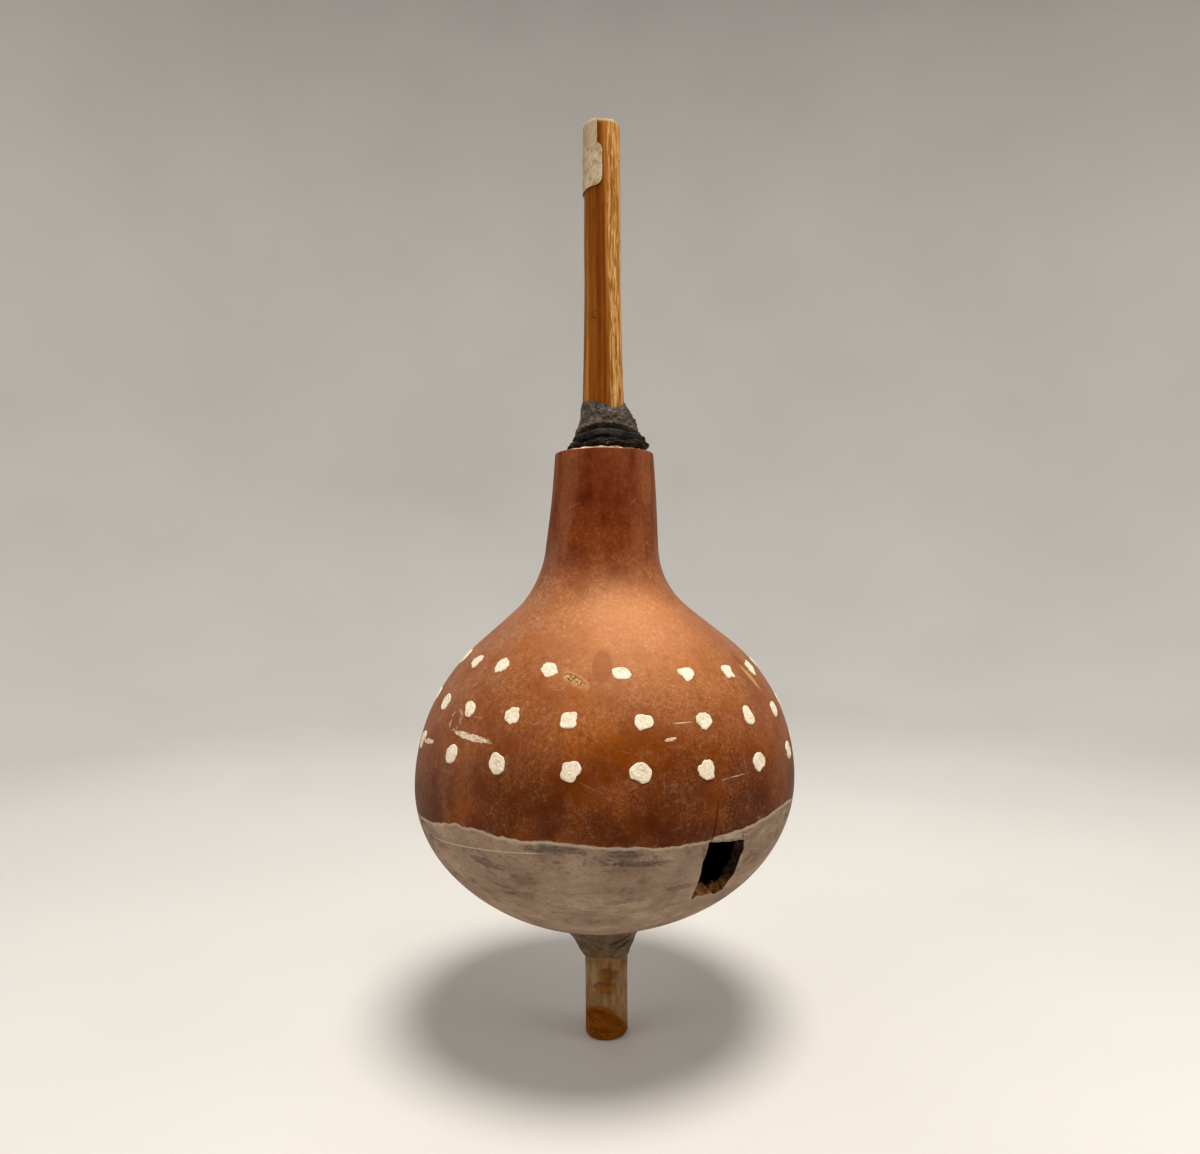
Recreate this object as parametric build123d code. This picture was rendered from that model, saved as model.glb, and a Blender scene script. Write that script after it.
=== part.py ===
from build123d import *
import math
import os

# Gourd rattle on a stick: a hollow bottle gourd threaded on a whittled wooden rod, plugged and
# sealed with pitch at the neck and again under the belly. Millimetres, +Z up along the rod.
# Heights are measured from the foot of the rod. azimuth 0 faces -Y, and grows towards +X.

# The rod: one stick, right through the gourd
stick_length = 362.0
stub_radius = 8.5             # bare end below the gourd
core_radius = 8.8             # inside the gourd, from just below the foot collar
handle_radius = 7.5           # whittled thinner above the collar
taper_length = 68.0           # from the gourd's rim up to where the handle is even
end_rounding = 1.8            # worn edge of the handle's end
foot_rounding = 0.8           # eased edge of the foot
stub_gap = 0.6                # between the stub's shoulder and the foot collar
grip_height = 307.0           # middle of the bare handle, the model's origin

# The gourd: an egg-shaped belly that flares up into a bottle neck
belly_radius = 74.1
belly_height = 104.0          # height of the widest ring
belly_depth = 58.5            # from the widest ring down to the bottom
shoulder_rise = 70.5          # the upper half's other semi-axis
shoulder_angle = 49.0         # how far round that half the flare leaves it, degrees
flare_radius = 34.0           # hollow curve between shoulder and neck
neck_length = 42.0            # rim down to the neck's root
neck_root_radius = 22.9
rim_radius = 19.6
rim_height = 230.4
rim_rounding = 0.8
wall = 4.0
foot_hole_clearance = 0.4     # the rod's hole in the bottom, sealed by the foot collar

# The window broken through the wall, low on the belly
window_azimuth = 34.3
window_width = 16.5
window_height = 21.3          # at its left side
window_top_drop = 1.6         # the top edge falls this much to the right
window_sill_drop = 31.0       # sill below the widest ring
window_corner_radius = 1.2

# Plug and pitch at the neck
plug_depth = 16.0             # inside the neck
plug_proud = 1.3              # above the rim
plug_taper = 0.8              # on the radius, thinner at its inner end
plug_clearance = 0.1
pitch_height = 20.8
pitch_margin = 0.3            # of the plug that shows round its base
pitch_lip_height = 3.2        # thick rolled lower edge
pitch_lip_lean = 0.4          # how far the slope leans in per unit of rise, above the lip
pitch_waist_height = 11.0     # where the lip's slope meets the thin upper part
pitch_waist_film = 2.1        # its thickness on the rod there
pitch_film = 0.7              # thickness at the top edge
pitch_offset = 1.8            # the pitch was pressed on thicker at the +X side

# Sealing collar under the belly
foot_collar_height = 16.0
foot_collar_spread = 10.2     # how far its wide end reaches out from the rod
foot_collar_film = 1.0        # thickness at its lower edge
foot_collar_hollow = 26.0     # radius of its hollow side
foot_collar_lap = 1.5         # how far its wide end reaches up past the lowest point of the belly

# Two paper labels glued on the handle
paper = 0.25
lower_label_height = 17.0
lower_label_top_drop = 9.8    # below the handle's end
lower_label_azimuth = 0.0     # its right-hand edge
lower_label_wrap = 172.0      # degrees round the handle
upper_label_azimuth = -15.0
upper_label_wrap = 150.0
label_end_overlap = 1.6       # how far the upper one turns in over the rounded end

# Loose pebbles in the bottom of the belly, in rings round the rod
pellet_radius = 2.9
pellet_spread = 0.14          # share by which their sizes differ
pellet_clearance = 0.35
pellet_ring_counts = [9, 14]


def polar(radius, azimuth, height=0.0):
    """Point at a radius and an azimuth, which is 0 at -Y and grows towards +X."""
    turn = math.radians(azimuth)
    return Vector(radius * math.sin(turn), -radius * math.cos(turn), height)


def rod_radius(height):
    """Radius of the rod above its stub: even, then tapering above the rim, then even again."""
    share = min(max((height - rim_height) / taper_length, 0.0), 1.0)
    return core_radius + (handle_radius - core_radius) * share


def foot_collar_bottom():
    """Height of the foot collar's lower edge."""
    return belly_height - belly_depth + foot_collar_lap - foot_collar_height


def plug_mouth():
    """Radius of the plug where it fills the neck's mouth."""
    return rim_radius - wall - plug_clearance


def handle_stick():
    """The rod, turned from its own side line, with eased ends."""
    shoulder = foot_collar_bottom() - stub_gap
    side = Polyline(
        (0, 0),
        (stub_radius, 0),
        (stub_radius, shoulder),
        (core_radius, shoulder),
        (core_radius, rim_height),
        (handle_radius, rim_height + taper_length),
        (handle_radius, stick_length),
        (0, stick_length),
        close=True,
    )
    rod = revolve(Plane.XZ * make_face(side), axis=Axis.Z)
    ends = rod.edges().filter_by(GeomType.CIRCLE).sort_by(Axis.Z)
    rod = fillet(ends[-1], end_rounding)
    foot = rod.edges().filter_by(GeomType.CIRCLE).sort_by(Axis.Z)[0]
    return fillet(foot, foot_rounding)


def gourd_form(inset, overrun=0.0):
    """The gourd as a filled form, drawn in from its skin by inset; overrun lengthens the neck.

    Half an ellipse makes the bottom, another leads up to the shoulder. Its tangent there meets
    the straight neck line at a corner, which the flare rounds.
    """
    across = belly_radius - inset
    middle = (0, belly_height)
    bottom = EllipticalCenterArc(middle, across, belly_depth - inset, -90, arc_size=90)
    shoulder = EllipticalCenterArc(middle, across, shoulder_rise - inset, arc_size=shoulder_angle)
    leave, slope = shoulder @ 1, shoulder % 1
    rim = Vector(rim_radius - inset, rim_height)
    root = Vector(neck_root_radius - inset, rim_height - neck_length)
    neck = (rim - root).normalized()
    apart = root - leave
    run = (apart.X * neck.Y - apart.Y * neck.X) / (slope.X * neck.Y - slope.Y * neck.X)
    corner = leave + slope * run
    top = rim + neck * (overrun / neck.Y)
    flare = FilletPolyline(leave, corner, top, radius=flare_radius + inset)
    centre = Polyline(top, (0, top.Y), bottom @ 0)
    outline = make_face([bottom, shoulder, *flare.edges(), *centre.edges()])
    return revolve(Plane.XZ * outline, axis=Axis.Z)


def window_cut():
    """Four-cornered prism that runs level through the wall at the window's azimuth."""
    half = window_width / 2
    outline = Polyline(
        (-half, 0),
        (half, 0),
        (half, window_height - window_top_drop),
        (-half, window_height),
        close=True,
    )
    face = make_face(outline)
    face = fillet(face.vertices(), window_corner_radius)
    sill = belly_height - window_sill_drop
    start = polar(belly_radius / 2, window_azimuth, sill)
    outward = polar(1, window_azimuth)
    plane = Plane(origin=start, x_dir=polar(1, window_azimuth + 90), z_dir=outward)
    return extrude(plane * face, amount=belly_radius)


def gourd_shell():
    """The dried shell: even wall, open neck, a hole for the rod and the broken window."""
    shell = gourd_form(0) - gourd_form(wall, overrun=wall)
    rims = shell.edges().filter_by(GeomType.CIRCLE).group_by(Axis.Z)[-1]
    shell = fillet(rims, rim_rounding)
    upright = (Align.CENTER, Align.CENTER, Align.MIN)
    hole = Cylinder(core_radius + foot_hole_clearance, belly_height, align=upright)
    return shell - hole - window_cut()


def neck_plug(rod):
    """Tapered plug wedged in the neck round the rod, a little proud of the rim."""
    mouth = plug_mouth()
    side = Polyline(
        (0, rim_height - plug_depth),
        (mouth - plug_taper, rim_height - plug_depth),
        (mouth, rim_height),
        (mouth, rim_height + plug_proud),
        (0, rim_height + plug_proud),
        close=True,
    )
    return revolve(Plane.XZ * make_face(side), axis=Axis.Z) - rod


def pitch_collar(rod):
    """Black pitch pressed round the rod on top of the plug: thick rolled lip, thin upper edge."""
    base = rim_height + plug_proud
    top = base + pitch_height
    film = rod_radius(top) + pitch_film
    wide = plug_mouth() - pitch_margin
    lip = Line((wide, base), (wide, base + pitch_lip_height))
    middle = base + pitch_waist_height
    waist = (rod_radius(middle) + pitch_waist_film, middle)
    slope = Spline(lip @ 1, waist, (film, top), tangents=[(-pitch_lip_lean, 1), (0, 1)])
    closing = Polyline((film, top), (0, top), (0, base), lip @ 0)
    outline = make_face([lip, slope, *closing.edges()])
    lump = revolve(Plane.XZ * outline, axis=Axis.Z)
    return lump + Pos(pitch_offset, 0, 0) * lump - rod


def foot_collar(rod, gourd):
    """Sealing collar that flares from the rod up to the underside of the belly."""
    bottom = foot_collar_bottom()
    top = bottom + foot_collar_height
    thin = core_radius + foot_collar_film
    wide = core_radius + foot_collar_spread
    flare = RadiusArc((thin, bottom), (wide, top), foot_collar_hollow)
    closing = Polyline((wide, top), (0, top), (0, bottom), (thin, bottom))
    outline = make_face([flare, *closing.edges()])
    return revolve(Plane.XZ * outline, axis=Axis.Z) - gourd - rod


def label(side, right_azimuth, wrap):
    """Paper of even thickness carried round the handle from its right-hand edge."""
    sheet = revolve(Plane.XZ * side, axis=Axis.Z, revolution_arc=wrap)
    return Rot(0, 0, right_azimuth - 90 - wrap) * sheet


def lower_label():
    """The larger label: a plain sheet round the even part of the handle."""
    top = stick_length - lower_label_top_drop
    bottom = top - lower_label_height
    outer = handle_radius + paper
    corners = [(handle_radius, bottom), (outer, bottom), (outer, top), (handle_radius, top)]
    side = make_face(Polyline(*corners, close=True))
    return label(side, lower_label_azimuth, lower_label_wrap)


def upper_label():
    """The label above it, whose top edge is pasted down over the worn end of the handle."""
    bottom = stick_length - lower_label_top_drop
    centre = (handle_radius - end_rounding, stick_length - end_rounding)
    turn = math.degrees(label_end_overlap / end_rounding)
    inner = CenterArc(centre, end_rounding, 0, turn)
    outer = CenterArc(centre, end_rounding + paper, 0, turn)
    inner_run = Line((handle_radius, bottom), inner @ 0)
    outer_run = Line((handle_radius + paper, bottom), outer @ 0)
    lower_edge = Line(inner_run @ 0, outer_run @ 0)
    upper_edge = Line(inner @ 1, outer @ 1)
    side = make_face([inner_run, inner, upper_edge, outer, outer_run, lower_edge])
    return label(side, upper_label_azimuth, upper_label_wrap)


def pellets():
    """Rings of pebbles resting in the bowl round the rod, each just clear of what it rests on."""
    across, depth = belly_radius - wall, belly_depth - wall
    largest = pellet_radius * (1 + pellet_spread)
    distance = core_radius + largest + pellet_clearance
    stones = []
    for count in pellet_ring_counts:
        steepness = math.sqrt(1 - (distance / across) ** 2)
        floor = belly_height - depth * steepness
        slope = depth * distance / (across**2 * steepness)
        slack = 2 * math.pi * distance / count - 2 * largest
        for place in range(count):
            radius = pellet_radius * (1 + pellet_spread * math.sin(2.4 * len(stones)))
            lift = (radius + pellet_clearance) * math.hypot(1, slope)
            sway = math.degrees(slack / 4 / distance) * math.sin(1.7 * len(stones))
            spot = polar(distance, 360 * place / count + sway, floor + lift)
            stones.append(Pos(*spot) * Sphere(radius))
        distance += 2 * largest + pellet_clearance
    return Compound(children=stones)


rod = handle_stick()
gourd = gourd_form(0)
pieces = {
    "gourd_shell": gourd_shell(),
    "handle_stick": rod,
    "neck_plug": neck_plug(rod),
    "pitch_collar": pitch_collar(rod),
    "foot_collar": foot_collar(rod, gourd),
    "upper_label": upper_label(),
    "lower_label": lower_label(),
    "pellets": pellets(),
}
os.makedirs("parts", exist_ok=True)
for node, piece in pieces.items():
    export_step(Pos(0, 0, -grip_height) * piece, f"parts/{node}.step")
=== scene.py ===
import math

import bpy
import numpy as np
from mathutils import Matrix, Vector


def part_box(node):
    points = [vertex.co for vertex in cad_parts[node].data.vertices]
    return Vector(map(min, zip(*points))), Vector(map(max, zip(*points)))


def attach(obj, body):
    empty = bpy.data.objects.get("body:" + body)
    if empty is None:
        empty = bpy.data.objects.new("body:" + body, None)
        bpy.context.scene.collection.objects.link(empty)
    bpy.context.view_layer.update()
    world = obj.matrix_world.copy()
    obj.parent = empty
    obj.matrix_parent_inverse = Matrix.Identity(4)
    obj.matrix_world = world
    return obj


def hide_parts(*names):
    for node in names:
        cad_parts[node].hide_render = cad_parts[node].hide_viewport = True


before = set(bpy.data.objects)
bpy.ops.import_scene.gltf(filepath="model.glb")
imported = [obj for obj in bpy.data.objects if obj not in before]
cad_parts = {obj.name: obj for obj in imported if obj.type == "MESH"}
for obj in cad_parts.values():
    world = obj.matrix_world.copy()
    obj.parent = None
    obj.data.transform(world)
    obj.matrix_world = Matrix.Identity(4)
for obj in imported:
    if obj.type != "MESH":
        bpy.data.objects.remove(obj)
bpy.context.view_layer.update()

# ---------------------------------------------------------------- gourd rind
# The dried shell of a bottle gourd, its neck sawn off level. It was scraped, oiled to a red-brown
# sheen and dipped in thin white wash up to its waist. A window is broken through the wall low at
# one side, and a crack runs up from the window's corner. All heights are in mm above the rod's foot.
mm = 0.001
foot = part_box("handle_stick")[0][2] / mm
belly_radius = 74.1
belly_height = 104.0
belly_depth = 58.5
shoulder_rise = 70.5
shoulder_angle = math.radians(49)
flare_radius = 34.0
neck_length = 42.0
neck_root_radius = 22.9
rim_radius = 19.6
rim_height = 230.4
rim_rounding = 0.55
rind_depths = np.array([0, 0.45, 1.2, 2.1, 3.1, 4.0])
rod_hole = 9.25


def ripple(seed, wave, *along):
    """Smooth unevenness of about -1 to 1: ten plane sine waves of random heading, phase and length
    near `wave`, added up over the coordinates given."""
    draw = np.random.default_rng(seed)
    total = 0
    for _ in range(10):
        heading = draw.normal(size=len(along))
        heading /= np.linalg.norm(heading)
        turn = 2 * np.pi / (wave * draw.uniform(0.7, 1.5))
        place = sum(a * h for a, h in zip(along, heading))
        total = total + np.sin(place * turn + draw.uniform(0, 6.3))
    return total / 4.5


def bump_at(value, place, width):
    """A bell curve of height 1 round `place`."""
    return np.exp(-(((value - place) / width) ** 2))


def smooth_step(value, low, high):
    """0 below low, 1 above high, and an even S between them."""
    share = np.clip((value - low) / (high - low), 0, 1)
    return share * share * (3 - 2 * share)


def gourd_outline():
    """The rind's side line as radius and height: half an ellipse, a flatter ellipse up to the
    shoulder angle, its tangent, an arc of the flare's radius, and the straight neck."""
    low = np.linspace(-np.pi / 2, 0, 700)
    high = np.linspace(0, shoulder_angle, 400)[1:]
    line = [(belly_radius * np.cos(low), belly_height + belly_depth * np.sin(low))]
    line += [(belly_radius * np.cos(high), belly_height + shoulder_rise * np.sin(high))]
    leave = np.array([line[1][0][-1], line[1][1][-1]])
    slope = np.array([-belly_radius * math.tan(shoulder_angle), shoulder_rise])
    slope /= np.linalg.norm(slope)
    rim = np.array([rim_radius, rim_height])
    root = np.array([neck_root_radius, rim_height - neck_length])
    neck = (rim - root) / np.linalg.norm(rim - root)
    apart = root - leave
    run = (apart[0] * neck[1] - apart[1] * neck[0]) / (slope[0] * neck[1] - slope[1] * neck[0])
    turn = math.acos(slope @ neck)
    start = leave + slope * (run - flare_radius * math.tan(turn / 2))
    side = (neck - slope * math.cos(turn)) / math.sin(turn)
    swing = np.linspace(0, turn, 200)[:, None]
    arc = start + flare_radius * (side * (1 - np.cos(swing)) + slope * np.sin(swing))
    straight = arc[-1] + (rim - arc[-1]) * np.linspace(0, 1, 200)[1:, None]
    flank = leave + (start - leave) * np.linspace(0, 1, 100)[1:-1, None]
    for part in (flank, arc, straight):
        line += [(part[:, 0], part[:, 1])]
    radius, height = (np.concatenate(column) for column in zip(*line))
    kept = radius > rod_hole
    kept[-400:] = True
    return radius[kept], height[kept]


outline_radius, outline_height = gourd_outline()
outline_run = np.concatenate(
    ([0], np.cumsum(np.hypot(np.diff(outline_radius), np.diff(outline_height))))
)
outline_slope = np.arctan2(
    np.gradient(outline_height, outline_run), np.gradient(outline_radius, outline_run)
)


def rind_lean(height):
    """How far the gourd's own axis strays towards +X from the rod's at a height."""
    return (
        0.4
        - 3.0 * (np.clip(156 - height, 0, None) / 106) ** 2
        - 1.8 * bump_at(height, 186, 22)
    )


def turned(radius, turn, height, lean=0):
    """Points at a radius, an azimuth in radians and a height, shifted by the lean towards +X."""
    places = (radius * np.sin(turn) + lean, -radius * np.cos(turn), height)
    return np.stack(np.broadcast_arrays(*places), axis=-1)


def on_rind(run, azimuth, depth):
    """Point of the rind at a length along its side line, an azimuth in degrees (0 at -Y, growing
    towards +X) and a depth under the skin: outline point, less the depth along its normal, swelled
    by low ripples, turned to the azimuth, and shifted by the lean."""
    radius = np.interp(run, outline_run, outline_radius)
    height = np.interp(run, outline_run, outline_height)
    slope = np.interp(run, outline_run, outline_slope)
    turn = np.radians(azimuth)
    swell = 0.35 * ripple(5, 70, radius * np.sin(turn), radius * np.cos(turn), height)
    swell = swell * smooth_step(radius, 12, 30)
    radius = radius - (depth - swell) * np.sin(slope)
    height = height + (depth - swell) * np.cos(slope)
    lean = rind_lean(height) * smooth_step(radius, 10, 30)
    return turned(radius, turn, height, lean)


def spread(low, high, spacing):
    """Places from low to high whose distance apart is about spacing(place)."""
    fine = np.linspace(low, high, 6000)
    count = np.concatenate(([0], np.cumsum(np.diff(fine) / spacing(fine[1:]))))
    return np.interp(np.linspace(0, count[-1], int(round(count[-1])) + 1), count, fine)


def skin_of(filled, shape):
    """Faces of a block of cells on a grid of points, layer 0 outermost: one quad wherever a filled
    cell meets an empty one, as corner numbers, and which of six sides each one is. The cells close
    on themselves along the last axis where they are as many as the points."""
    closed = filled.shape[2] == shape[2]
    sides = (
        ((-1, 0, 0), ((0, 0, 0), (0, 0, 1), (0, 1, 1), (0, 1, 0))),
        ((1, 0, 0), ((1, 0, 0), (1, 1, 0), (1, 1, 1), (1, 0, 1))),
        ((0, 1, 0), ((1, 1, 0), (0, 1, 0), (0, 1, 1), (1, 1, 1))),
        ((0, -1, 0), ((1, 0, 0), (1, 0, 1), (0, 0, 1), (0, 0, 0))),
        ((0, 0, 1), ((1, 0, 1), (1, 1, 1), (0, 1, 1), (0, 0, 1))),
        ((0, 0, -1), ((1, 0, 0), (0, 0, 0), (0, 1, 0), (1, 1, 0))),
    )
    padded = np.pad(filled, 1)
    if closed:
        padded[:, :, 0], padded[:, :, -1] = padded[:, :, -2].copy(), padded[:, :, 1].copy()
    quads, kinds = [], []
    for kind, (step, corners) in enumerate(sides):
        reach = [slice(1 + s, 1 + s + n) for s, n in zip(step, filled.shape)]
        cells = np.argwhere(filled & ~padded[tuple(reach)])
        spots = cells[:, None, :] + np.array(corners)[None]
        spots[..., 2] %= shape[2]
        quads.append(np.ravel_multi_index(tuple(np.moveaxis(spots, -1, 0)), shape))
        kinds.append(np.full(len(cells), kind))
    return np.concatenate(quads), np.concatenate(kinds)


def make_piece(name, points, faces, surfaces, finishes=None, sharp=50):
    """An object from points in mm and corner numbers, unused points dropped, with its finishes and
    which of them each face has. Edges sharper than `sharp` degrees stay crisp."""
    faces = [np.asarray(f) for f in (faces if isinstance(faces, list) else [faces])]
    used, place = np.unique(np.concatenate([f.ravel() for f in faces]), return_inverse=True)
    cuts = np.cumsum([f.size for f in faces])[:-1]
    corners = [p.reshape(f.shape) for p, f in zip(np.split(place.ravel(), cuts), faces)]
    spots = (points.reshape(-1, 3)[used] + (0, 0, foot)) * mm
    mesh = bpy.data.meshes.new(name)
    mesh.from_pydata(spots.tolist(), [], [row for c in corners for row in c.tolist()])
    for finish in surfaces:
        mesh.materials.append(finish)
    if finishes is not None:
        mesh.polygons.foreach_set("material_index", finishes.astype(np.int32))
    mesh.polygons.foreach_set("use_smooth", np.ones(len(mesh.polygons), bool))
    mesh.update()
    mesh.set_sharp_from_angle(angle=math.radians(sharp))
    piece = bpy.data.objects.new(name, mesh)
    bpy.context.scene.collection.objects.link(piece)
    return piece


# The window's edges as azimuth against height, and sill and head as height against azimuth.
window_left = (
    (72.6, 28.3), (74, 28.0), (78, 27.8), (82.5, 27.5), (87.6, 27.0), (90, 27.6), (95.7, 28.0),
)
window_right = (
    (72, 40.9), (76.9, 40.7), (79.5, 41.4), (83.2, 41.0), (86.6, 40.7), (89.5, 41.1), (93, 40.4),
)
window_sill = (
    (26.8, 74.6), (28.3, 72.2), (29.4, 73.9), (31.8, 73.1), (35.4, 73.3), (38, 72.4), (41, 73.0),
)
window_head = ((27, 94.8), (29, 94.2), (32, 94.0), (35, 93.3), (38, 93.2), (41, 92.7))
stations = spread(
    0,
    outline_run[-1],
    lambda run: 1.9 - 1.2 * bump_at(np.interp(run, outline_run, outline_height), 84, 15) ** 0.5,
)
stations = np.concatenate((stations[:-1], outline_run[-1] - np.array([0.55, 0.36, 0.2, 0.08, 0])))
turns = spread(-180, 180, lambda azimuth: 2.1 - 1.5 * bump_at(azimuth, 34, 12))[:-1]
station_height = np.interp(stations, outline_run, outline_height)
edge_left, edge_right = (int(np.argmin(abs(turns - a))) for a in (27.7, 40.9))
low_height = np.where(station_height > 110, np.inf, station_height)
edge_sill, edge_head = (int(np.argmin(abs(low_height - h))) for h in (73.3, 93.7))
depth, run, azimuth = np.meshgrid(rind_depths, stations, turns, indexing="ij")
height = np.interp(run, outline_run, outline_height)
beside = smooth_step(height, 68, 72) * (1 - smooth_step(height, 95, 99))
above = smooth_step(azimuth, 23, 26.5) * (1 - smooth_step(azimuth, 42, 45.5))
torn = 0.16 + 0.22 * depth
tear_turn = ripple(11, 5, height * 1.6, depth * 2.5, azimuth * 0.2) * torn * 0.5
tear_rise = ripple(12, 6, azimuth * 2.0, depth * 3, height * 0.2) * torn
shift_turn = sum(
    bump_at(azimuth, turns[edge], 2.2)
    * (np.interp(height, *zip(*line)) - turns[edge] + tear_turn * rough)
    for edge, line, rough in ((edge_left, window_left, 0.6), (edge_right, window_right, 1.3))
)
shift_rise = sum(
    bump_at(height, station_height[edge], 3.5)
    * (np.interp(azimuth, *zip(*line)) - station_height[edge] + tear_rise * rough)
    for edge, line, rough in ((edge_sill, window_sill, 1.5), (edge_head, window_head, 0.7))
)
azimuth = azimuth + shift_turn * beside
climb = np.gradient(outline_height, outline_run)
steep = np.clip(np.interp(run, outline_run, climb), 0.3, None)
run = run + shift_rise * above / steep * (height < 110)
past_rim = np.clip((run - (outline_run[-1] - rim_rounding)) / rim_rounding, 0, 1)
worn = rim_rounding * (1 - np.sqrt(1 - (past_rim * 0.98) ** 2))
depth = depth + worn * (1 - depth / 2)
rim_turn = np.radians(azimuth)
rim_wave = 0.22 * ripple(14, 16, 18 * np.sin(rim_turn), 18 * np.cos(rim_turn))
rind_points = on_rind(run, azimuth, depth)
rind_points[..., 2] += rim_wave * smooth_step(run, outline_run[-1] - 12, outline_run[-1])
filled = np.ones((len(rind_depths) - 1, len(stations) - 1, len(turns)), bool)
filled[:, edge_sill:edge_head, edge_left:edge_right] = False
rind_faces, rind_sides = skin_of(filled, rind_points.shape[:3])


class Wire:
    """A socket in a finish's node tree. Arithmetic on it adds Math nodes; node() adds any other."""

    def __init__(self, tree, socket=None):
        self.tree, self.socket = tree, socket

    def node(self, kind, settings=None, inputs=None, output=0):
        """Adds a node: its settings first (a ramp's stops among them), then values or links of its
        inputs by name or number. Returns the output asked for."""
        made = self.tree.nodes.new("ShaderNode" + kind)
        for name, value in (settings or {}).items():
            if name == "stops":
                ramp = made.color_ramp
                ramp.elements.remove(ramp.elements[1])
                for place, colour in value[1:]:
                    ramp.elements.new(place).color = colour
                ramp.elements[0].position, ramp.elements[0].color = value[0]
            else:
                setattr(made, name, value)
        for name, value in (inputs or {}).items():
            if isinstance(value, Wire):
                self.tree.links.new(value.socket, made.inputs[name])
            else:
                made.inputs[name].default_value = value
        return Wire(self.tree, made.outputs[output]) if made.outputs else None

    def math(self, operation, *others):
        """A Math node on this value and the others in order."""
        return self.node("Math", {"operation": operation}, dict(enumerate((self, *others))))

    def __add__(self, other):
        return self.math("ADD", other)

    def __sub__(self, other):
        return self.math("SUBTRACT", other)

    def __rsub__(self, other):
        return -self + other

    def __mul__(self, other):
        return self.math("MULTIPLY", other)

    def __truediv__(self, other):
        return self.math("DIVIDE", other)

    def __pow__(self, other):
        return self.math("POWER", other)

    def __neg__(self):
        return self.math("MULTIPLY", -1)

    __radd__ = __add__
    __rmul__ = __mul__

    def step(self, low, high):
        """0 below low, 1 above high (the other way round if low is above high), smooth between."""
        flip = low > high
        low, high = sorted((low, high))
        ends = {"From Min": low, "From Max": high, "To Min": float(flip), "To Max": float(not flip)}
        return self.node("MapRange", {"interpolation_type": "SMOOTHSTEP"}, {"Value": self, **ends})

    def near(self, place, width):
        """A bell of 1 round the place."""
        away = (self - place) / width
        return (-(away * away)).math("EXPONENT")

    def most(self, other):
        """The larger of this and another."""
        return self.math("MAXIMUM", other)

    def ramp(self, *stops):
        """Colour at this value, from stops of a place and the 0 to 255 values of a paint card."""
        stops = [(place, shade(*card)) for place, *card in stops]
        return self.node("ValToRGB", {"stops": stops}, {0: self})

    def mix(self, factor, first, second):
        """Colour between two, by a factor."""
        return self.node("Mix", {"data_type": "RGBA"}, {0: factor, 6: first, 7: second}, 2)

    def tint(self, factor, red, green, blue):
        """This colour, taken towards a paint card's by a factor."""
        return self.mix(factor, self, shade(red, green, blue))

    def ground(self, scale, squeeze):
        """Object coordinates counted in features `scale` mm across, squeezed along the axes."""
        return self.node("Mapping", {}, {"Vector": self, "Scale": [s / scale / mm for s in squeeze]})

    def noise(self, scale, detail=4.0, roughness=0.55, squeeze=(1, 1, 1), distortion=0.0):
        """Noise `scale` mm to a feature."""
        put = {"Vector": self.ground(scale, squeeze), "Scale": 1.0, "Detail": detail}
        return self.node("TexNoise", {}, {**put, "Roughness": roughness, "Distortion": distortion})

    def seams(self, scale, squeeze):
        """Distance from the borders of cells `scale` mm across."""
        where = self.ground(scale, squeeze)
        return self.node("TexVoronoi", {"feature": "DISTANCE_TO_EDGE"}, {"Vector": where, "Scale": 1.0})


def shade(red, green, blue):
    """Linear colour of the 0 to 255 values a paint card gives."""
    return tuple((value / 255) ** 2.2 for value in (red, green, blue)) + (1.0,)


def new_finish(name):
    """A material with an empty tree, and a Wire of its Object coordinates."""
    finish = bpy.data.materials.new(name)
    finish.use_nodes = True
    finish.node_tree.nodes.clear()
    return finish, Wire(finish.node_tree).node("TexCoord", {}, {}, "Object")


def places_on(at):
    """A finish's X in mm, height above the rod's foot in mm and azimuth in degrees."""
    x, y, z = (at.node("SeparateXYZ", {}, {0: at}, axis) for axis in range(3))
    return x / mm, z / mm - foot, x.math("ARCTAN2", -y) * (180 / math.pi)


def finish_with(place, colour, roughness, bump, **fixed):
    """The Principled surface of a finish: what varies is linked, what is fixed is set. Bump is in
    mm of height."""
    normal = place.node("Bump", {}, {"Height": bump, "Distance": mm, "Strength": 1.0})
    inputs = {"Base Color": colour, "Roughness": roughness, "Normal": normal}
    inputs.update({name.replace("_", " "): value for name, value in fixed.items()})
    surface = place.node("BsdfPrincipled", {}, inputs)
    place.node("OutputMaterial", {}, {"Surface": surface})


def spot_mask(where, place, size, tilt, edge):
    """1 inside an oval on the skin, 0 outside. Where on the skin, the oval's place and its half
    sizes are an azimuth in degrees and a height in mm; it is tilted, and its edge moved by `edge`."""
    across, up = (value - middle for value, middle in zip(where, place))
    cosine, sine = math.cos(math.radians(tilt)), math.sin(math.radians(tilt))
    along = (across * cosine + up * sine) / size[0]
    over = (up * cosine - across * sine) / size[1]
    return (along * along + over * over + edge).step(1.15, 0.75)


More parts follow.
